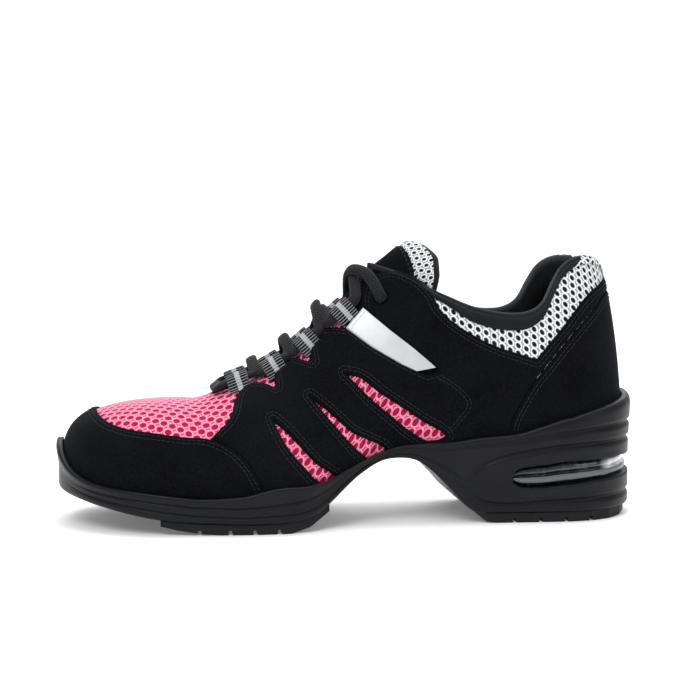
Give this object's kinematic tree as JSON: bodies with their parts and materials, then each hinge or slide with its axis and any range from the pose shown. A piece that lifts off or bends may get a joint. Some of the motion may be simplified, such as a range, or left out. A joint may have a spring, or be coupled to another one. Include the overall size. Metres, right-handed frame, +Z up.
{
  "type": "dance sneaker",
  "caption": "Low lace-up dance sneaker with a pink mesh and black suede upper, webbing lace loops, a padded collar and a high-arched sole with a clear heel cushion.",
  "frame": {"origin": "on the floor under the middle of the sole's length and width", "axes": "+X from toe to heel, +Y to the inner (medial) side of the foot, +Z up"},
  "size_m": [0.2577, 0.0964, 0.1265],
  "materials": {
    "sole": "satin moulded foam rubber",
    "cushion": "clear moulded cushion with a satin flange",
    "tread": "matt rubber",
    "insole": "black brushed fabric on foam",
    "mesh": "open mesh in pink, pale grey at the collar, black lining",
    "tongue": "black suede and pale grey mesh on foam",
    "suede": "black suede, double stitched",
    "flash": "silver coated patch",
    "lace": "woven oval cord",
    "webbing": "ribbed webbing"
  },
  "bodies": {
    "root": {"sole": "sole", "heel_cushion": "cushion", "forefoot_tread": "tread", "heel_tread": "tread", "insole": "insole", "upper": "mesh", "tongue": "tongue", "toe_cap": "suede", "heel_counter": "suede", "quarter_lateral": "suede", "quarter_medial": "suede", "flash_lateral": "flash", "flash_medial": "flash", "lace": "lace", "lace_loop_lateral_1": "webbing", "lace_loop_lateral_2": "webbing", "lace_loop_lateral_3": "webbing", "lace_loop_lateral_4": "webbing", "lace_loop_medial_1": "webbing", "lace_loop_medial_2": "webbing", "lace_loop_medial_3": "webbing", "lace_loop_medial_4": "webbing"}
  },
  "joints": []
}
